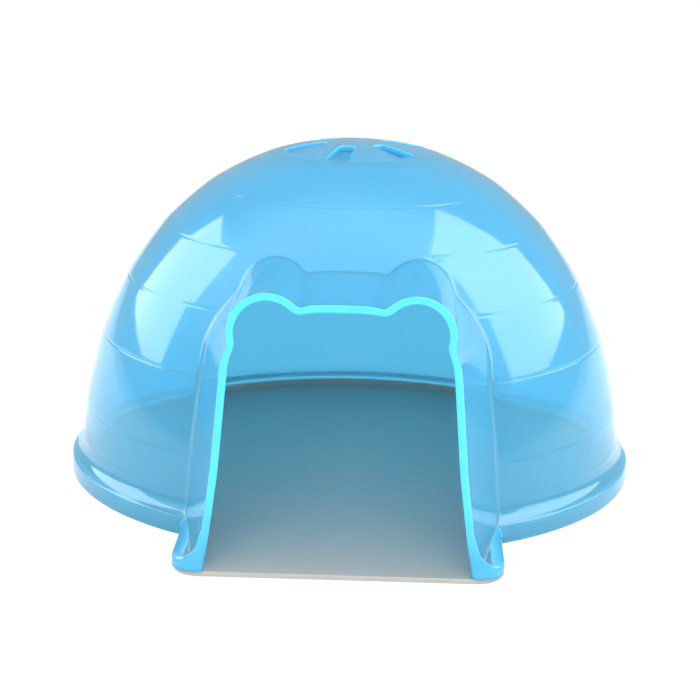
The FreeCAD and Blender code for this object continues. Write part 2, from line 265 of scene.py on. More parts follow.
shellShape = {
    # dome
    "rimRadius": 62.49, "domeRadius": 60.23, "domeHeight": 73.04, "squareness": 2.137,
    "wall": 1.5, "flareTop": 8.3, "flareSag": 0.62, "skirtHeight": 3.4, "skirtRound": 0.5, "skirtBow": 0.1,
    "joints": (63.5, 55.1, 43.95, 31.5, 15.95), "crownJoint": 70.4,
    "jointDepth": 0.07, "jointHalf": 0.5, "courseFlat": 0.12, "edgeRound": 0.35,
    # porch: half width and height on its sloping front, and where it runs into the dome
    "reach": 76.1, "lean": 3.0, "rootReach": 34.0,
    "doorFoot": (25.3, 0), "doorLow": (22.6, 20.7), "doorHigh": (20.85, 41.5),
    "rootFoot": (34.3, 0), "rootLow": (32.7, 20.7), "rootHigh": (29.6, 36.0),
    "shoulder": (27.8, 39.7), "rootEarFoot": (24.75, 43.85),
    "ear": (13.9, 47.3), "earRadius": 6.05, "earFoot": -20, "earRise": 8, "earEnd": 130,
    "dip": (8.15, 50.85), "browEnd": (6.4, 51.15), "brow": 51.35,
    "shoulderSlant": 0.72, "dipSlant": 0.97,        # share of a wall that is added where it slopes
    "outlinePasses": 4,                             # that round its corners, as a polished mould's are
    "creaseHeights": (0, 4, 9, 42, 47, 60), "creases": (0.8, 0.8, 2.2, 2.2, 1.3, 1.3),
    "innerCrease": 0.6, "creaseAhead": 0.01,        # share of a line that its direction is taken over
    "creaseCosines": (-0.98, 0.5),                  # of the widest and the sharpest corner it rounds
    "doorMiddle": 25,                               # height that tells which way is out of the doorway
    # feet, and the notch under them that the tray's tongue passes through
    "toeHalf": 31.9, "toeTop": 8.3, "toeSag": 1.2, "toeCorner": 5.0, "toeCornerBlend": 0.5, "toeBlend": 1.2,
    "toeFade": 3,                                   # slope that takes a foot inside the wall above its top
    "toeRows": 4,                                   # points up the outside that show a foot's solid edge
    "toeInnerRound": 1.3, "toeInnerHeights": (3, 8),
    "trayNotch": 1.0, "trayGap": 0.4, "notchFront": 90, "notchFoot": 1,
    # vents, from the axis outwards
    "vents": 6, "ventTurn": 18, "ventStart": 6.6, "ventEnd": 15.4, "ventNarrow": 1.5, "ventWide": 2.5,
    "ventCorner": 0.8, "ventRound": 0.3,
    # mesh of the dome: lengths between points, and points beside a groove as shares of its half width
    "around": 300,                                  # a multiple of the vents
    "outsideStep": 1.3, "insideStep": 2.2, "hollowStep": 0.5, "turnStep": 0.12,
    "edgeStep": 0.15, "innerEdgeStep": 0.2, "grooveSteps": (0.2, 0.4, 0.6, 0.8, 1.0, 1.5, 2.2),
    # window in front, where the mesh is made round the porch
    "windowHalf": 42.0, "windowTop": 57.5, "windowScale": 0.9, "windowMargin": 0.35,
    "windowSlack": 1e-6,                            # radians, so that both its sides are taken alike
    # mesh of the porch: points along each stretch of its outline, and rows from the dome forwards
    "lowPoints": 22, "highPoints": 14, "shoulderPoints": 12, "cheekPoints": 8, "earPoints": 26,
    "dipPoints": 10, "browPoints": 20,
    "creaseRows": 7, "outsideRows": 22, "insideRows": 12, "edgeRows": (0.2, 0.4, 0.6, 0.8),
    "rowCrowding": 1.5,                             # above 1, rows lie closer towards the front edge
    "halvings": 40, "slopeReach": 0.2,              # for finding the dome's face, and its slope
    # mesh of the crown
    "crownSteps": (0.2, 0.4, 0.6, 0.8, 1.0, 1.6), "crownInside": 0.6, "ringStart": 0.9, "ringStep": 1.0,
    "ringEnd": 0.5, "crownMargin": 0.25, "ventCornerSteps": 6, "ventSideSteps": 8,
    # what counts as one point, as no length and as no area
    "merge": 0.004, "flatMerge": 1e-7, "shortest": 0.002, "noLength": 1e-6, "sliver": 1e-5,
}


def domeAt(level, inset=0.0):
    s = shellShape
    rise = (level / (s["domeHeight"] - inset)) ** s["squareness"]
    return (s["domeRadius"] - inset) * (1 - rise) ** (1 / s["squareness"])


def circleThrough(a, b, c):
    d = 2 * (a[0] * (b[1] - c[1]) + b[0] * (c[1] - a[1]) + c[0] * (a[1] - b[1]))
    sq = [p[0] ** 2 + p[1] ** 2 for p in (a, b, c)]
    x = (sq[0] * (b[1] - c[1]) + sq[1] * (c[1] - a[1]) + sq[2] * (a[1] - b[1])) / d
    y = (sq[0] * (c[0] - b[0]) + sq[1] * (a[0] - c[0]) + sq[2] * (b[0] - a[0])) / d
    return np.array((x, y)), math.dist((x, y), a)


def wrapped(angle):
    return (angle + math.pi) % (2 * math.pi) - math.pi


def arcThrough(a, b, c):
    # centre, radius, first angle and sweep of the arc from a through b to c
    centre, radius = circleThrough(a, b, c)
    start, middle, end = [math.atan2(p[1] - centre[1], p[0] - centre[0]) for p in (a, b, c)]
    return centre, radius, start, wrapped(middle - start) + wrapped(end - middle)


def arcAlong(a, b, c, step, near=()):
    # points from a through b to c, their outward directions, and how far each is from a and from c
    centre, radius, start, sweep = arcThrough(a, b, c)
    length = abs(sweep) * radius
    close = [d for d in near if d < length / 2]
    first = close[-1] if close else 0.0
    between = np.linspace(first, length - first, max(2, round((length - 2 * first) / step) + 1))
    along = np.unique(np.round([0.0, *close, *between, *[length - d for d in close], length], 6))
    angles = start + math.copysign(1, sweep) * along / radius
    out = np.stack([np.cos(angles), np.sin(angles)], 1)
    return centre + out * radius, out * math.copysign(1, out[0, 0]), along, length - along


def jointBite(distance):
    s = shellShape
    near = np.minimum(np.abs(distance) / s["jointHalf"], 1.0)
    return s["jointDepth"] * (0.5 + 0.5 * np.cos(np.pi * near))


def makeProfile():
    # section of the dome: down the outside, under the skirt and up the inside
    s = shellShape
    near = [s["jointHalf"] * k for k in s["grooveSteps"]]
    outer, smooth = [], []

    def add(points, bites=None):
        outer.extend(points if bites is None else points - bites)
        smooth.extend(points)

    levels = [s["crownJoint"], *s["joints"], s["flareTop"]]
    for top, low in zip(levels, levels[1:]):
        middle = (top + low) / 2
        points, out, fromTop, fromLow = arcAlong(
            (domeAt(top), top), (domeAt(middle, s["courseFlat"]), middle), (domeAt(low), low),
            s["outsideStep"], near)
        bite = jointBite(fromTop) + (jointBite(fromLow) if low > s["flareTop"] else 0)
        add(points[:-1], (out * bite[:, None])[:-1])
    edge = s["skirtHeight"] + s["skirtRound"]
    rim, lip, r = s["rimRadius"], s["skirtRound"], s["edgeRound"]

    def flare(inset):
        wall = domeAt(s["flareTop"], inset)
        foot = (rim - inset - lip / 2, edge - inset / 2)
        sag = ((wall + foot[0]) / 2 - s["flareSag"], (s["flareTop"] + foot[1]) / 2 - s["flareSag"])
        end = (rim - inset, foot[1] - lip)
        hollow = arcAlong((wall, s["flareTop"]), sag, foot, s["hollowStep"])[0]
        turn = arcAlong(foot, (end[0] - lip * s["skirtBow"], foot[1] - lip / 2), end, s["turnStep"])[0]
        return np.concatenate([hollow[:-1], turn])

    add(flare(0.0))
    diagonal = r * (1 - math.sqrt(0.5))
    add(arcAlong((rim, r), (rim - diagonal, diagonal), (rim - r, 0), s["edgeStep"])[0])
    within = rim - s["wall"]
    inner = [arcAlong((within + r, 0), (within + diagonal, diagonal), (within, r), s["innerEdgeStep"])[0]]
    inner.append(flare(s["wall"])[::-1][:-1])
    levels = [s["flareTop"], *reversed(s["joints"]), s["crownJoint"] - s["wall"]]
    for low, top in zip(levels, levels[1:]):
        middle = (top + low) / 2
        section = [(domeAt(z, s["wall"]), z) for z in (low, middle, top)]
        inner.append(arcAlong(*section, s["insideStep"])[0][:-1])
    inner.append([(domeAt(levels[-1], s["wall"]), levels[-1])])
    inner = np.concatenate(inner)
    return np.array(outer), np.array(smooth), inner


# outline of the porch, right half, from the floor to the middle of the brow

def sampleLine(a, b, count):
    return [np.array(a) + (np.array(b) - np.array(a)) * k / count for k in range(count)]


def sampleArc(a, b, c, count):
    centre, radius, start, sweep = arcThrough(a, b, c)
    angles = [start + sweep * k / count for k in range(count)]
    return [centre + radius * np.array((math.cos(t), math.sin(t))) for t in angles]


def earPoint(angle, skin):
    s = shellShape
    turn = math.radians(angle)
    reach = s["earRadius"] + skin
    return (s["ear"][0] + reach * math.cos(turn), s["ear"][1] + reach * math.sin(turn))


def shifted(point, x, y=0.0):
    return (point[0] + x, point[1] + y)


def porchOutline(skin, atRoot):
    s = shellShape
    slant = s["shoulderSlant"] * skin
    rise = earPoint(s["earRise"], skin)
    end = earPoint(s["earEnd"], skin)
    browEnd = shifted(s["browEnd"], 0, skin)
    half = []
    if atRoot:
        foot, low, high = [shifted(s[key], skin) for key in ("rootFoot", "rootLow", "rootHigh")]
        earFoot = shifted(s["rootEarFoot"], slant, slant)
        half += sampleLine(foot, low, s["lowPoints"]) + sampleLine(low, high, s["highPoints"])
        half += sampleArc(high, shifted(s["shoulder"], slant, slant), earFoot, s["shoulderPoints"])
        half += sampleLine(earFoot, rise, s["cheekPoints"])
    else:
        foot, low, high = [shifted(s[key], skin) for key in ("doorFoot", "doorLow", "doorHigh")]
        earFoot = earPoint(s["earFoot"], skin)
        half += sampleLine(foot, low, s["lowPoints"]) + sampleLine(low, high, s["highPoints"])
        half += sampleLine(high, earFoot, s["shoulderPoints"])
        cheek = earPoint((s["earFoot"] + s["earRise"]) / 2, skin)
        half += sampleArc(earFoot, cheek, rise, s["cheekPoints"])
    half += sampleArc(rise, earPoint((s["earRise"] + s["earEnd"]) / 2, skin), end, s["earPoints"])
    half += sampleArc(end, shifted(s["dip"], 0, s["dipSlant"] * skin), browEnd, s["dipPoints"])
    brow = sampleArc(browEnd, (0, s["brow"] + skin), (-browEnd[0], browEnd[1]), s["browPoints"])
    half = np.array(half + brow[:s["browPoints"] // 2 + 1])
    whole = np.concatenate([half, half[-2::-1] * (-1, 1)])
    for _ in range(s["outlinePasses"]):
        whole[1:-1] = whole[1:-1] / 2 + (whole[:-2] + whole[2:]) / 4
    return whole


def onPorch(outline, reach):
    lean = math.radians(shellShape["lean"])
    x, rise = outline.T
    return np.stack([x, -reach + rise * math.sin(lean), rise * math.cos(lean)], 1)


def smoothMax(a, b, blend):
    overlap = np.maximum(blend - np.abs(a - b), 0) / blend
    return np.maximum(a, b) + overlap ** 2 * blend / 4


def toeHalfWidth(y, z):
    s = shellShape
    foot, top = (s["toeHalf"], s["skirtHeight"]), (s["doorFoot"][0] + s["wall"] / 2, s["toeTop"])
    sag = ((foot[0] + top[0]) / 2 - s["toeSag"], (foot[1] + top[1]) / 2 - s["toeSag"])
    centre, radius = circleThrough(foot, sag, top)
    hollow = centre[0] - np.sqrt(np.maximum(radius ** 2 - (z - centre[1]) ** 2, 0))
    section = np.where(z < top[1], hollow, top[0] - s["toeFade"] * (z - top[1]))
    section = np.where(z <= foot[1], foot[0], section)
    inFront = np.clip(s["toeCorner"] - (y + s["reach"]), 0, s["toeCorner"])
    plan = s["toeHalf"] - s["toeCorner"] + np.sqrt(s["toeCorner"] ** 2 - inFront ** 2)
    return -smoothMax(-section, -plan, s["toeCornerBlend"])


def widened(points):
    out = points.copy()
    x, y, z = points.T
    out[:, 0] = np.sign(x) * smoothMax(np.abs(x), toeHalfWidth(y, z), shellShape["toeBlend"])
    return out


def rationalArc(start, corner, end, weight, steps):
    # a round between two tangents that meet at corner
    rows = []
    for k in steps:
        shares = ((1 - k) ** 2, 2 * k * (1 - k) * weight, k ** 2)
        rows.append((start * shares[0] + corner * shares[1] + end * shares[2]) / sum(shares))
    return rows


def sharesBetween(count):
    return [k / count for k in range(1, count)]


def unit(vectors):
    return vectors / np.linalg.norm(vectors, axis=-1, keepdims=True)


class Wall:
    # one face of the porch as lines that run back into the dome, and one face of the dome
    def __init__(self, skin, profile, widen):
        self.front = onPorch(porchOutline(skin, False), shellShape["reach"])
        self.root = onPorch(porchOutline(skin, True), shellShape["rootReach"])
        self.length = np.linalg.norm(self.root - self.front, axis=1)[:, None]
        self.widen = widen
        order = np.argsort(profile[:, 1], kind="stable")
        self.levels, self.radii = profile[order, 1], profile[order, 0]

    def at(self, share):
        points = self.front + (self.root - self.front) * share
        return widened(points) if self.widen else points

    def radius(self, z):
        return np.interp(z, self.levels, self.radii)

    def meetDome(self):
        # how far along each line the dome's face is
        low, high = np.zeros(self.length.shape), np.ones(self.length.shape)
        for _ in range(shellShape["halvings"]):
            middle = (low + high) / 2
            x, y, z = self.at(middle).T
            outside = (np.hypot(x, y) > self.radius(z))[:, None]
            low, high = np.where(outside, middle, low), np.where(outside, high, middle)
        return high

    def onDome(self, points):
        x, y, z = points.T
        z = np.maximum(z, 0)
        scale = self.radius(z) / np.hypot(x, y)
        return np.stack([x * scale, y * scale, z], 1)

    def domeNormal(self, points):
        x, y, z = points.T
        above, below = z + shellShape["slopeReach"], np.maximum(z - shellShape["slopeReach"], 0)
        slope = (self.radius(above) - self.radius(below)) / (above - below)
        r = np.hypot(x, y)
        return unit(np.stack([x / r, y / r, -slope], 1))

    def crease(self, size):
        # the dome's edge of the blend, its rows between, and how far along the porch's own face starts
        s = shellShape
        share = self.meetDome()
        corner = self.at(share)
        ahead = unit(self.at(share - s["creaseAhead"]) - corner)
        along = unit(np.gradient(corner, axis=0))
        aside = unit(np.cross(along, self.domeNormal(corner)))
        outward = corner * (1, 0, 1) - (0, 0, s["doorMiddle"])
        aside *= np.sign((aside * outward).sum(1, keepdims=True))
        half = np.arccos(np.clip((ahead * aside).sum(1, keepdims=True), *s["creaseCosines"])) / 2
        reach = size(corner[:, 2])[:, None] / np.tan(half)
        start = share - reach / self.length
        domeEdge = corner + aside * reach
        domeEdge[[0, -1], 2] = 0
        domeEdge = self.onDome(domeEdge)
        rows = rationalArc(domeEdge, corner, self.at(start), np.sin(half), sharesBetween(s["creaseRows"]))
        return domeEdge, rows, start


def porchGrid(outerSmooth, inner):
    # its outside and inside as rows, each round its outline, and which of them are the front band
    s = shellShape
    outside = Wall(s["wall"], outerSmooth, True)
    inside = Wall(0.0, inner, False)
    outerEdge, outerBlend, outerStart = outside.crease(
        lambda z: np.interp(z, s["creaseHeights"], s["creases"]))
    innerEdge, innerBlend, innerStart = inside.crease(lambda z: 0 * z + s["innerCrease"])
    rows = [outerEdge, *outerBlend]     # from the dome outside, round the front edge, to the dome inside
    edge = s["edgeRound"] / outside.length
    for k in np.linspace(0, 1, s["outsideRows"]):
        rows.append(outside.at(outerStart + (edge - outerStart) * (1 - (1 - k) ** s["rowCrowding"])))
    outerCorner, innerCorner = outside.at(0), inside.at(0)
    across = unit(innerCorner - outerCorner)
    innerRounds = s["toeInnerRound"], s["edgeRound"]
    innerRound = np.interp(innerCorner[:, 2], s["toeInnerHeights"], innerRounds)[:, None]
    bandStart = len(rows) - 1
    outerFace = outerCorner + across * s["edgeRound"]
    innerFace = innerCorner - across * innerRound
    quarter = math.sqrt(0.5)
    rows += rationalArc(rows[-1], outerCorner, outerFace, quarter, s["edgeRows"])
    rows += [outerFace, (outerFace + innerFace) / 2, innerFace]
    innerEnd = innerRound / inside.length
    rows += rationalArc(innerFace, innerCorner, inside.at(innerEnd), quarter, s["edgeRows"])
    bandEnd = len(rows)
    for k in np.linspace(0, 1, s["insideRows"]):
        rows.append(inside.at(innerEnd + (innerStart - innerEnd) * k))
    rows += innerBlend[::-1] + [innerEdge]
    return np.stack(rows, 1), bandStart, bandEnd


# triangles between loops of a flat map

def insideLoop(points, loop):
    x, y = points[:, 0, None], points[:, 1, None]
    ax, ay = loop.T
    bx, by = np.roll(loop, -1, axis=0).T
    crossing = (ay > y) != (by > y)
    with np.errstate(divide="ignore", invalid="ignore"):
        left = x < (bx - ax) * (y - ay) / (by - ay) + ax
    return (crossing & left).sum(1) % 2 == 1


def nearLoop(points, loop, distance):
    a, b = loop, np.roll(loop, -1, axis=0)
    d = b - a
    squares = np.maximum((d ** 2).sum(1), shellShape["noLength"] ** 2)
    away = points[:, None] - a
    share = np.clip((away * d).sum(2) / squares, 0, 1)[..., None]
    return (np.linalg.norm(away - d * share, axis=2) < distance).any(1)


def fillBetween(flat, solid, loops, border, margin):
    # triangles over the free points, inside the border and outside the loops
    s = shellShape
    keep = np.ones(len(flat), bool)
    for loop, _ in loops:
        keep &= ~insideLoop(flat, loop) & ~nearLoop(flat, loop, margin)
    points, places, edges = list(flat[keep]), list(solid[keep]), []
    for loop, loopSolid in [*loops, border]:
        first = len(points)
        points += list(loop)
        places += list(loopSolid)
        edges += [(first + k, first + (k + 1) % len(loop)) for k in range(len(loop))]
    outFlat, _, faces, origins, _, _ = delaunay_2d_cdt(
        [Vector(p) for p in points], edges, [], 0, s["flatMerge"], True)
    corners = np.array([[outFlat[v] for v in face] for face in faces])
    centres = corners.mean(1)
    sides = corners[:, 1:] - corners[:, :1]
    good = np.abs(sides[:, 0, 0] * sides[:, 1, 1] - sides[:, 0, 1] * sides[:, 1, 0]) > s["sliver"]
    good &= insideLoop(centres, border[0])
    for loop, _ in loops:
        good &= ~insideLoop(centres, loop)
    return [places[origin[0]] for origin in origins], [face for face, wanted in zip(faces, good) if wanted]


class Sheet:
    # gathers the parts of a mesh, whose shared points are merged at the end
    def __init__(self):
        self.points, self.faces, self.slots = [], [], []

    def add(self, points, faces, slot=0):
        first = len(self.points)
        self.points += [tuple(p) for p in points]
        self.faces += [[first + v for v in face] for face in faces]
        self.slots += [slot] * len(faces)

    def addGrid(self, grid, closed=False, slot=0):
        rows, columns = grid.shape[:2]
        wrap = columns if closed else columns - 1
        faces = [(i * columns + j, i * columns + (j + 1) % columns,
                  (i + 1) * columns + (j + 1) % columns, (i + 1) * columns + j)
                 for i in range(rows - 1) for j in range(wrap)]
        self.add(grid.reshape(-1, 3), faces, slot)

    def makeMesh(self, name):
        mesh = bpy.data.meshes.new(name)
        mesh.from_pydata([[c * mm for c in p] for p in self.points], [], self.faces)
        mesh.polygons.foreach_set("material_index", self.slots)
        return mesh


def addBody(sheet, outer, smooth, inner, porch):
    # the dome below the crown, turned round its axis, with a window in front that lets the porch in
    s = shellShape
    profile = np.concatenate([outer, inner])
    steps = np.linalg.norm(np.diff(np.concatenate([smooth, inner]), axis=0), axis=1)
    along = np.concatenate([[0], np.cumsum(steps)])
    count = s["around"]
    start = (90 + s["ventTurn"] - 180 / s["vents"]) % (360 / count)      # meets the crown point to point
    turn = np.radians(np.arange(count) * 360 / count - 180 + start)
    grid = np.stack([np.outer(profile[:, 0], np.sin(turn)), -np.outer(profile[:, 0], np.cos(turn)),
                     np.repeat(profile[:, 1:], count, 1)], 2)
    columns = np.flatnonzero(np.abs(turn) < np.radians(s["windowHalf"]) + s["windowSlack"])
    rows = np.flatnonzero(profile[:, 1] < s["windowTop"])
    faces = []
    for i in range(len(profile) - 1):
        for j in range(count):
            inWindow = rows[0] <= i < rows[-1] and columns[0] <= j < columns[-1]
            if not inWindow:
                after = (j + 1) % count
                faces.append((i * count + j, i * count + after, (i + 1) * count + after, (i + 1) * count + j))
    sheet.add(grid.reshape(-1, 3), faces)

    # the window, unrolled to a flat map
    stretch = s["domeRadius"] * s["windowScale"]
    window = grid[rows[0]:rows[-1] + 1, columns[0]:columns[-1] + 1]
    flat = np.stack(np.meshgrid(turn[columns] * stretch, along[rows]), 2)
    border = [(0, j) for j in range(len(columns))] + [(i, -1) for i in range(1, len(rows))]
    border += [(-1, j) for j in range(len(columns) - 2, -1, -1)]
    border += [(i, 0) for i in range(len(rows) - 2, 0, -1)]
    borderFlat = np.array([flat[spot] for spot in border])
    borderSolid = np.array([window[spot] for spot in border])

    def mapped(points, levels, distances):
        order = np.argsort(levels, kind="stable")
        azimuth = np.arctan2(points[:, 0], -points[:, 1])
        return np.stack([azimuth * stretch, np.interp(points[:, 2], levels[order], distances[order])], 1)

    outerEdge, innerEdge = porch[:, 0], porch[::-1, -1]
    split = len(outer)
    hole = np.concatenate([mapped(outerEdge, smooth[:, 1], along[:split]),
                           mapped(innerEdge, inner[:, 1], along[split:])])
    holeSolid = np.concatenate([outerEdge, innerEdge])
    free = flat[1:-1, 1:-1].reshape(-1, 2), window[1:-1, 1:-1].reshape(-1, 3)
    sheet.add(*fillBetween(*free, [(hole, holeSolid)], (borderFlat, borderSolid), s["windowMargin"]))


def ventLoop(grow):
    # outline of a vent on +X, with a skin of grow round it
    s = shellShape
    start, end = s["ventStart"] - grow, s["ventEnd"] + grow
    corners = [(start, -s["ventNarrow"] - grow), (end, -s["ventWide"] - grow),
               (end, s["ventWide"] + grow), (start, s["ventNarrow"] + grow)]
    corners = [np.array(corner) for corner in corners]
    radius = s["ventCorner"] + grow
    loop = []
    for k, corner in enumerate(corners):
        following = corners[(k + 1) % len(corners)]
        before = unit(corners[k - 1] - corner)
        after = unit(following - corner)
        half = math.acos(before @ after) / 2
        reach = radius / math.tan(half)
        into, out, further = corner + before * reach, corner + after * reach, following - after * reach
        shares = sharesBetween(s["ventCornerSteps"])
        loop += [into, *rationalArc(into, corner, out, math.sin(half), shares)]
        loop += sampleLine(out, further, s["ventSideSteps"])
    return np.array(loop)


def crownSurface(inset):
    s = shellShape
    top, edge = s["domeHeight"] - inset, s["crownJoint"] - inset
    radius = domeAt(edge, inset)
    sphere = (radius ** 2 + (top - edge) ** 2) / (2 * (top - edge))

    def lift(flat, drop=0.0):
        flat = np.asarray(flat)
        distance = np.hypot(*flat.T)
        height = top - sphere + np.sqrt(sphere ** 2 - distance ** 2)
        if inset == 0:
            height = height - jointBite(radius - distance)
        return np.column_stack([flat, height - drop])
    return radius, lift


def makeSector(edges):
    # the piece of the crown that one vent is cut in, outside and inside, centred on +X
    s = shellShape
    r = s["ventRound"]
    diagonal = r * (1 - math.sqrt(0.5))
    half = math.pi / s["vents"]
    count = s["around"] // s["vents"]
    sector = Sheet()
    walls = []

    def onRing(radius, spots):
        angles = np.linspace(-half, half, spots + 1)
        return radius * np.stack([np.cos(angles), np.sin(angles)], 1)

    for inset, side, edge in ((0.0, 1, edges[0]), (s["wall"], -1, edges[1])):
        radius, lift = crownSurface(inset)
        near = [s["jointHalf"] * k for k in s["crownSteps"]] if inset == 0 else [s["crownInside"]]
        further = np.arange(radius - near[-1] - s["ringStart"], s["ringEnd"], -s["ringStep"])
        rings = [radius - d for d in near] + list(further)
        rows = [onRing(ring, count if k < len(near) - 1 else max(2, round(2 * half * ring)))
                for k, ring in enumerate(rings)]
        free = np.concatenate([row[1:-1] for row in rows])
        rim = onRing(edge[0], count)
        rightSpoke = np.array([row[0] for row in rows[::-1]])
        leftSpoke = np.array([row[-1] for row in rows])
        border = np.concatenate([[(0, 0)], rightSpoke, rim, leftSpoke])
        solid = np.concatenate([lift([(0, 0)]), lift(rightSpoke),
                                np.column_stack([rim, np.full(len(rim), edge[1])]), lift(leftSpoke)])
        loop = ventLoop(r)
        hole = loop, lift(loop)
        sector.add(*fillBetween(free, lift(free), [hole], (border, solid), s["crownMargin"]))
        rounded = [lift(loop), lift(ventLoop(diagonal), side * diagonal), lift(ventLoop(0), side * r)]
        walls += rounded[::side]
    sector.addGrid(np.stack(walls), closed=True, slot=1)
    mesh = sector.makeMesh("crown_sector")
    wall = mesh.attributes.new("ventWall", "BOOLEAN", "FACE")
    wall.data.foreach_set("value", sector.slots)
    mesh.polygons.foreach_set("material_index", [0] * len(mesh.polygons))
    return mesh


def makeVentTree():
    # repeats a sector round Z
    tree, given = newTree("vents round the crown", [
        ("Geometry", "Geometry"), ("Vents", "Int"), ("First Vent", "Float"),
        ("Plastic", "Material"), ("Vent Wall", "Material")])
    spots = addNode(tree, "GeometryNodePoints", None, {"Count": given["Vents"]})
    step = addNode(tree, "ShaderNodeMath", {"operation": "DIVIDE", 0: 2 * math.pi}, {1: given["Vents"]})
    number = addNode(tree, "GeometryNodeInputIndex")
    angle = addNode(tree, "ShaderNodeMath", {"operation": "MULTIPLY_ADD"},
                    {0: number.outputs[0], 1: step.outputs[0], 2: given["First Vent"]})
    axes = addNode(tree, "ShaderNodeCombineXYZ", None, {"Z": angle.outputs[0]})
    turn = addNode(tree, "FunctionNodeEulerToRotation", None, {0: axes.outputs[0]})
    ring = addNode(tree, "GeometryNodeInstanceOnPoints", None, {
        "Points": spots.outputs[0], "Instance": given["Geometry"], "Rotation": turn.outputs[0]})
    whole = addNode(tree, "GeometryNodeRealizeInstances", None, {0: ring.outputs[0]})
    plastic = addNode(tree, "GeometryNodeSetMaterial", None,
                      {"Geometry": whole.outputs[0], "Material": given["Plastic"]})
    wall = addNode(tree, "GeometryNodeInputNamedAttribute", {"data_type": "BOOLEAN", "Name": "ventWall"})
    ends = addNode(tree, "GeometryNodeSetMaterial", None, {
        "Geometry": plastic.outputs[0], "Selection": wall.outputs["Attribute"],
        "Material": given["Vent Wall"]})
    addNode(tree, "NodeGroupOutput", None, {0: ends.outputs[0]})
    return tree


def makeCrown(edges, materials):
    s = shellShape
    crown = runTree(makeSector(edges), makeVentTree(), {
        "Vents": s["vents"], "First Vent": math.radians(s["ventTurn"]),
        "Plastic": materials[0], "Vent Wall": materials[2]})
    slots = [materials.index(material) if material else 0 for material in crown.materials]
    for face in crown.polygons:
        face.material_index = slots[face.material_index]
    print("crown", len(crown.polygons), "faces,", s["vents"], "vents")
    return crown


def cutNotch(shell):
    # the tongue of the tray passes under the porch
    s = shellShape
    half = s["toeHalf"] + s["trayGap"]
    box = bmesh.new()
    bmesh.ops.create_cube(box, size=1)
    low = Vector((-half, -s["notchFront"], -s["notchFoot"]))
    high = Vector((half, -s["rootReach"], s["trayNotch"]))
    for vertex in box.verts:
        vertex.co = [(low[k] + (vertex.co[k] + 0.5) * (high[k] - low[k])) * mm for k in range(3)]
    cutter = addObject("notch", bpy.data.meshes.new("notch"))
    box.to_mesh(cutter.data)
    box.free()
    cut = shell.modifiers.new("notch", "BOOLEAN")
    cut.operation = "DIFFERENCE"
    cut.solver = "EXACT"
    cut.object = cutter
    shell.data = takeResult(shell)
    bpy.data.objects.remove(cutter)


def makeShell(materials):
    s = shellShape
    outer, smooth, inner = makeProfile()
    porch, bandStart, bandEnd = porchGrid(smooth, inner)
    sheet = Sheet()
    addBody(sheet, outer, smooth, inner, porch)
    rows = s["toeRows"]
    # the feet and the front band take slot 1, the opaque end of the wall with its painted glow
    for part, slot in ((porch[:rows + 1], 1), (porch[rows:-rows], 0), (porch[-rows - 1:], 1)):
        sheet.addGrid(part[:, :bandStart + 1], slot=slot)
    sheet.addGrid(porch[:, bandStart:bandEnd + 1], slot=1)
    sheet.addGrid(porch[:, bandEnd:])
    for end in (0, -1):
        sheet.add(porch[end], [list(range(len(porch[end])))])
    mesh = sheet.makeMesh("igloo_house")
    work = bmesh.new()
    work.from_mesh(mesh)
    work.from_mesh(makeCrown((outer[0], inner[-1]), materials))
    bmesh.ops.remove_doubles(work, verts=work.verts, dist=s["merge"] * mm)
    bmesh.ops.dissolve_degenerate(work, edges=work.edges, dist=s["shortest"] * mm)
    bmesh.ops.recalc_face_normals(work, faces=work.faces)
    openEdges = sum(len(edge.link_faces) != 2 for edge in work.edges)
    work.to_mesh(mesh)
    work.free()
    for material in materials:
        mesh.materials.append(material)
    shell = addObject("igloo_house", mesh)
    cutNotch(shell)
    shell.data.shade_smooth()
    print("shell", len(shell.data.polygons), "faces,", openEdges, "open edges")
    return shell


shellPlastic = {
    "tint": "#7adfff",
    "absorb": "#3fe2fb",                    # what the depth of the wall leaves of the light
    "density": 88.0,                        # per metre
    "transmission": 0.72,                   # the rest scatters at the surface, as a milky body does
    "roughness": 0.07,
    "index": 1.53,
    "sinkSize": 14.0,                       # mm
    "sinkDepth": 0.035,                     # mm
}


def makePatches(tree, size, stretch=(1, 1, 1), detail=2.0):
    # soft patches of about size mm, longer by stretch along each axis
    place = addNode(tree, "ShaderNodeTexCoord")
    shrink = addNode(tree, "ShaderNodeMapping", {"Scale": [1 / share for share in stretch]},
                     {"Vector": place.outputs["Object"]})
    return addNode(tree, "ShaderNodeTexNoise", {"Scale": 1 / (size * mm), "Detail": detail},
                   {"Vector": shrink.outputs[0]}).outputs["Fac"]


def makeShellPlastic(settings):
    # tinted polystyrene, moulded against polished steel: a sharp gloss that wavers a little where the
    # wall sank as it cooled, over a milky body that takes more colour with depth
    material, tree = newMaterial("tinted polystyrene, polished mould")
    sink = addNode(tree, "ShaderNodeBump", {"Strength": 1.0, "Distance": settings["sinkDepth"] * mm},
                   {"Height": makePatches(tree, settings["sinkSize"])})
    shader = addNode(tree, "ShaderNodeBsdfPrincipled", {
        "Base Color": srgb(settings["tint"]),
        "Roughness": settings["roughness"],
        "IOR": settings["index"],
        "Transmission Weight": settings["transmission"],
    }, {"Normal": sink.outputs[0]})
    body = addNode(tree, "ShaderNodeVolumeAbsorption",
                   {"Color": srgb(settings["absorb"]), "Density": settings["density"]})
    addNode(tree, "ShaderNodeOutputMaterial", None,
            {"Surface": shader.outputs[0], "Volume": body.outputs[0]})
    return material


# colours painted on the opaque ends of the wall, the feet and the vent walls: they stand in for the glow of
# light led along the wall
edgeGlowPaint = {
    "front": ("#48cdee", "#54d4f0"),        # painted glow: where less and where more light comes out
    "foot": ("#42a8d6", "#50b4de"),         # a solid foot takes more colour
    "vents": ("#4ab4ec", "#56bff0"),
    "patch": 3.0,                           # mm, size of the painted brighter patches
    "footTop": (4.0, 16.0),                 # mm, where its colour turns to the front's
    "roughness": 0.12,
    "index": 1.53,
}


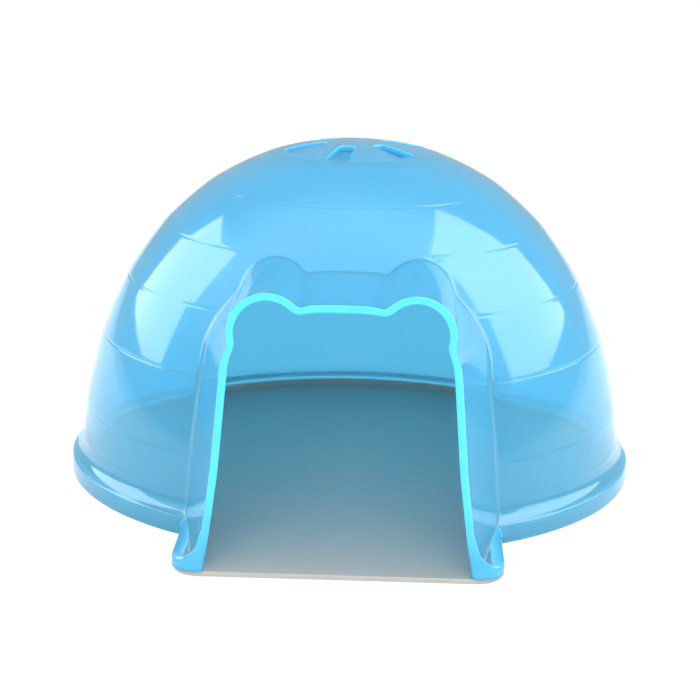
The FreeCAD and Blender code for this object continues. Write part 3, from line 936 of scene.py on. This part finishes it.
def makeEdgeGlowPaint(settings, place):
    # the same plastic end-on, made opaque: the light led along the wall that comes out at its ends is painted
    # into its colour as a glow, in soft brighter patches
    material, tree = newMaterial("tinted polystyrene, end of the wall, " + place)
    paintedGlow = makePatches(tree, settings["patch"])

    def tone(colours):
        return addNode(tree, "ShaderNodeMix", {
            "data_type": "RGBA", 6: srgb(colours[0]), 7: srgb(colours[1])}, {"Factor": paintedGlow}).outputs[2]

    colour = tone(settings[place])
    if place == "front":
        spot = addNode(tree, "ShaderNodeTexCoord")
        height = addNode(tree, "ShaderNodeSeparateXYZ", None, {"Vector": spot.outputs["Object"]})
        low, high = settings["footTop"]
        share = addNode(tree, "ShaderNodeMapRange", {"From Min": low * mm, "From Max": high * mm},
                        {"Value": height.outputs["Z"]})
        colour = addNode(tree, "ShaderNodeMix", {"data_type": "RGBA"}, {
            "Factor": share.outputs["Result"], 6: tone(settings["foot"]), 7: colour}).outputs[2]
    shader = addNode(tree, "ShaderNodeBsdfPrincipled", {
        "Roughness": settings["roughness"],
        "IOR": settings["index"],
    }, {"Base Color": colour})
    addNode(tree, "ShaderNodeOutputMaterial", None, {"Surface": shader.outputs[0]})
    return material


shell = makeShell([makeShellPlastic(shellPlastic), makeEdgeGlowPaint(edgeGlowPaint, "front"),
                   makeEdgeGlowPaint(edgeGlowPaint, "vents")])
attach(shell, "igloo")
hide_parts("igloo_shell")


# floor tray, in mm: a plate with rounded edges, and a lip that follows the dome inside

trayShape = {
    "radius": 60.6,
    "tongueHalf": 31.5,
    "front": 75.6,
    "corner": 5.2,
    "thickness": 1.0,
    "edgeRound": 0.22,
    "lipTop": 2.4,
    "lipThickness": 1.0,
    "lipOpening": 33.1,          # half width of the gap that the porch leaves in the lip
    "lipRound": 0.3,
    "step": 1.2,                 # between points round the plate
    "cornerSteps": 12,
    "edgeSteps": 3,
    "lipPoints": 260,
    "lipRoundPoints": 4,
    "sharpFrom": 40,             # degrees
}

trayPlastic = {
    "light": "#c0bcb5",
    "dark": "#b4b0a9",
    "grain": 0.4,                # mm across the rolling direction, coarser than real so that it shows
    "grainRun": 14.0,            # times longer along it
    "grainDepth": 0.004,         # mm
    "roughness": (0.13, 0.24),   # of its glossier and its duller patches
    "roughPatch": 9.0,           # mm
    "index": 1.49,
}


def makeTrayPlastic(settings):
    # grey polypropylene sheet, rolled: satin, with fine streaks along the rolling direction
    material, tree = newMaterial("grey polypropylene, rolled sheet")
    streaks = makePatches(tree, settings["grain"], (settings["grainRun"], 1, 1))
    tone = addNode(tree, "ShaderNodeMix", {
        "data_type": "RGBA", 6: srgb(settings["dark"]), 7: srgb(settings["light"])}, {"Factor": streaks})
    glossier, duller = settings["roughness"]
    rough = addNode(tree, "ShaderNodeMapRange", {"To Min": glossier, "To Max": duller},
                    {"Value": makePatches(tree, settings["roughPatch"])})
    grain = addNode(tree, "ShaderNodeBump", {"Strength": 1.0, "Distance": settings["grainDepth"] * mm},
                    {"Height": streaks})
    shader = addNode(tree, "ShaderNodeBsdfPrincipled", {"IOR": settings["index"]}, {
        "Base Color": tone.outputs[2], "Roughness": rough.outputs["Result"], "Normal": grain.outputs[0]})
    addNode(tree, "ShaderNodeOutputMaterial", None, {"Surface": shader.outputs[0]})
    return material


def makeLipTree():
    # a rounded strip along an arc that is open towards the porch
    tree, given = newTree("lip round the tray", [
        ("Radius", "Float"), ("Half Opening", "Float"), ("Thickness", "Float"), ("Rise", "Float"),
        ("Level", "Float"), ("Round", "Float"), ("Plastic", "Material")])
    start = addNode(tree, "ShaderNodeMath", {"operation": "SUBTRACT", 1: math.pi / 2},
                    {0: given["Half Opening"]})
    sweep = addNode(tree, "ShaderNodeMath", {"operation": "MULTIPLY_ADD", 1: -2, 2: 2 * math.pi},
                    {0: given["Half Opening"]})
    path = addNode(tree, "GeometryNodeCurveArc", {"mode": "RADIUS", "Resolution": trayShape["lipPoints"]}, {
        "Radius": given["Radius"], "Start Angle": start.outputs[0], "Sweep Angle": sweep.outputs[0]})
    section = addNode(tree, "GeometryNodeCurvePrimitiveQuadrilateral", {"mode": "RECTANGLE"},
                      {"Width": given["Thickness"], "Height": given["Rise"]})
    rounded = addNode(tree, "GeometryNodeFilletCurve", {"mode": "POLY", "Count": trayShape["lipRoundPoints"]},
                      {"Curve": section.outputs[0], "Radius": given["Round"]})
    strip = addNode(tree, "GeometryNodeCurveToMesh", {"Fill Caps": True},
                    {"Curve": path.outputs[0], "Profile Curve": rounded.outputs[0]})
    level = addNode(tree, "ShaderNodeCombineXYZ", None, {"Z": given["Level"]})
    placed = addNode(tree, "GeometryNodeTransform", None,
                     {"Geometry": strip.outputs[0], "Translation": level.outputs[0]})
    whole = addNode(tree, "GeometryNodeRealizeInstances", None, {0: placed.outputs[0]})
    dressed = addNode(tree, "GeometryNodeSetMaterial", None,
                      {"Geometry": whole.outputs[0], "Material": given["Plastic"]})
    addNode(tree, "NodeGroupOutput", None, {0: dressed.outputs[0]})
    return tree


def trayOutline():
    s = trayShape
    shoulder = math.atan2(-math.sqrt(s["radius"] ** 2 - s["tongueHalf"] ** 2), s["tongueHalf"])
    steps = round((math.pi - 2 * shoulder) * s["radius"] / s["step"])
    turns = np.linspace(shoulder, math.pi - shoulder, steps + 1)
    outline = [(s["radius"] * math.cos(t), s["radius"] * math.sin(t)) for t in turns]
    inside = (s["tongueHalf"] - s["corner"], s["corner"] - s["front"])
    for side, first in ((-1, 180), (1, 270)):
        for k in range(s["cornerSteps"] + 1):
            turn = math.radians(first + 90 * k / s["cornerSteps"])
            outline.append((side * inside[0] + s["corner"] * math.cos(turn),
                            inside[1] + s["corner"] * math.sin(turn)))
    return outline


def makeTray(material):
    s = trayShape
    work = bmesh.new()
    sheet = work.faces.new([work.verts.new((x * mm, y * mm, 0)) for x, y in trayOutline()])
    raised = bmesh.ops.extrude_face_region(work, geom=[sheet])["geom"]
    for vertex in raised:
        if isinstance(vertex, bmesh.types.BMVert):
            vertex.co.z = s["thickness"] * mm
    brinks = [edge for edge in work.edges if edge.verts[0].co.z == edge.verts[1].co.z]
    bmesh.ops.bevel(work, geom=brinks, offset=s["edgeRound"] * mm, segments=s["edgeSteps"], profile=0.5,
                    affect="EDGES")
    foot = s["thickness"] / 2
    lip = runTree(bpy.data.meshes.new("lip"), makeLipTree(), {
        "Radius": (s["radius"] - s["lipThickness"] / 2) * mm,
        "Half Opening": math.asin(s["lipOpening"] / s["radius"]),
        "Thickness": s["lipThickness"] * mm, "Rise": (s["lipTop"] - foot) * mm,
        "Level": (s["lipTop"] + foot) / 2 * mm, "Round": s["lipRound"] * mm, "Plastic": material})
    work.from_mesh(lip)
    bmesh.ops.recalc_face_normals(work, faces=work.faces)
    for face in work.faces:
        face.material_index = 0
        face.smooth = True
    mesh = bpy.data.meshes.new("tray")
    work.to_mesh(mesh)
    work.free()
    mesh.set_sharp_from_angle(angle=math.radians(s["sharpFrom"]))
    mesh.materials.append(material)
    tray = addObject("tray", mesh)
    print("tray", len(mesh.polygons), "faces")
    return tray


tray = makeTray(makeTrayPlastic(trayPlastic))
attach(tray, "tray")
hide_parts("floor_tray")
